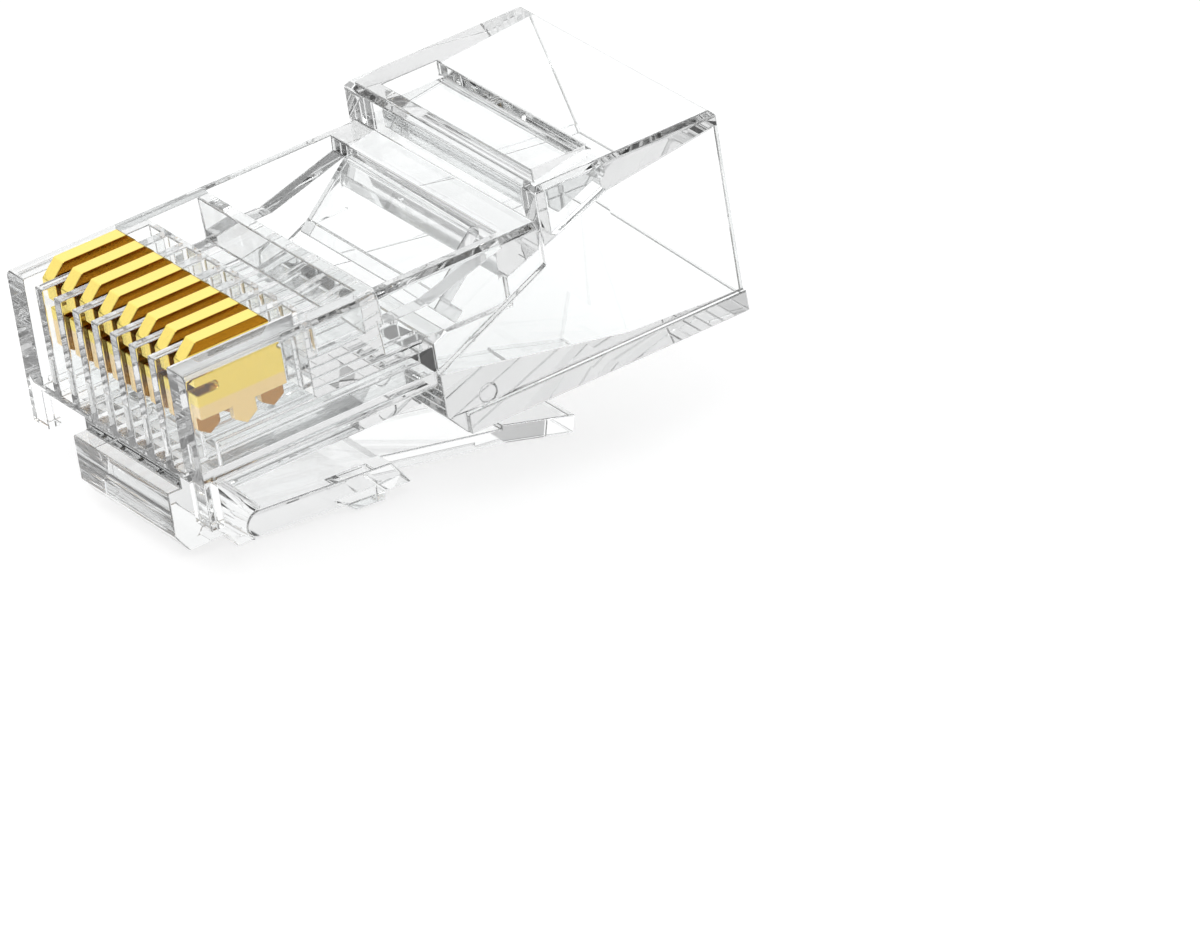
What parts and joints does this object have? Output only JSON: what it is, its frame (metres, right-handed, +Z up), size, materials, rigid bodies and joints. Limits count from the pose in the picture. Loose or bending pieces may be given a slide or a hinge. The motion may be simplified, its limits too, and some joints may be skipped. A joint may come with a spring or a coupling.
{
  "type": "modular plug",
  "caption": "Clear modular cable plug with a thumb latch, raised gold blade contacts in a comb, hinged clamp flaps and a rear cable entry, before crimping.",
  "frame": {"origin": "centre of the front face, level with the underside of the body", "axes": "+X back along the cable, +Y across the contacts, +Z up from the latch side to the contact side"},
  "size_m": [0.0219, 0.0126, 0.0123],
  "materials": {
    "clear_polycarbonate": "clear polished moulding",
    "gold_plated_bronze": "bright gold plating on phosphor bronze"
  },
  "bodies": {
    "moulding": {"housing": "clear_polycarbonate"},
    "latch": {"latch_lever": "clear_polycarbonate"},
    "conductor_clamp_flap": {"conductor_clamp": "clear_polycarbonate"},
    "jacket_clamp_bar": {"jacket_clamp": "clear_polycarbonate"},
    "blade_1": {"contact_1": "gold_plated_bronze"},
    "blade_2": {"contact_2": "gold_plated_bronze"},
    "blade_3": {"contact_3": "gold_plated_bronze"},
    "blade_4": {"contact_4": "gold_plated_bronze"},
    "blade_5": {"contact_5": "gold_plated_bronze"},
    "blade_6": {"contact_6": "gold_plated_bronze"},
    "blade_7": {"contact_7": "gold_plated_bronze"},
    "blade_8": {"contact_8": "gold_plated_bronze"}
  },
  "joints": [
    {"name": "latch_flex", "type": "hinge", "parent": "moulding", "child": "latch", "pos_m": [0.0033, 0, -0.0017], "axis": [0, -1, 0], "range_deg": [0, 11], "stiffness_Nm_per_rad": 0.3},
    {"name": "conductor_clamp_hinge", "type": "hinge", "parent": "moulding", "child": "conductor_clamp_flap", "pos_m": [0.0129, 0, 0.00595], "axis": [0, -1, 0], "range_deg": [0, 20]},
    {"name": "jacket_clamp_hinge", "type": "hinge", "parent": "moulding", "child": "jacket_clamp_bar", "pos_m": [0.0173, 0, 0.00695], "axis": [0, -1, 0], "range_deg": [0, 35]},
    {"name": "contact_1_press", "type": "slide", "parent": "moulding", "child": "blade_1", "axis": [0, 0, -1], "range_m": [0, 0.00085]},
    {"name": "contact_2_press", "type": "slide", "parent": "moulding", "child": "blade_2", "axis": [0, 0, -1], "range_m": [0, 0.00085]},
    {"name": "contact_3_press", "type": "slide", "parent": "moulding", "child": "blade_3", "axis": [0, 0, -1], "range_m": [0, 0.00085]},
    {"name": "contact_4_press", "type": "slide", "parent": "moulding", "child": "blade_4", "axis": [0, 0, -1], "range_m": [0, 0.00085]},
    {"name": "contact_5_press", "type": "slide", "parent": "moulding", "child": "blade_5", "axis": [0, 0, -1], "range_m": [0, 0.00085]},
    {"name": "contact_6_press", "type": "slide", "parent": "moulding", "child": "blade_6", "axis": [0, 0, -1], "range_m": [0, 0.00085]},
    {"name": "contact_7_press", "type": "slide", "parent": "moulding", "child": "blade_7", "axis": [0, 0, -1], "range_m": [0, 0.00085]},
    {"name": "contact_8_press", "type": "slide", "parent": "moulding", "child": "blade_8", "axis": [0, 0, -1], "range_m": [0, 0.00085]}
  ]
}
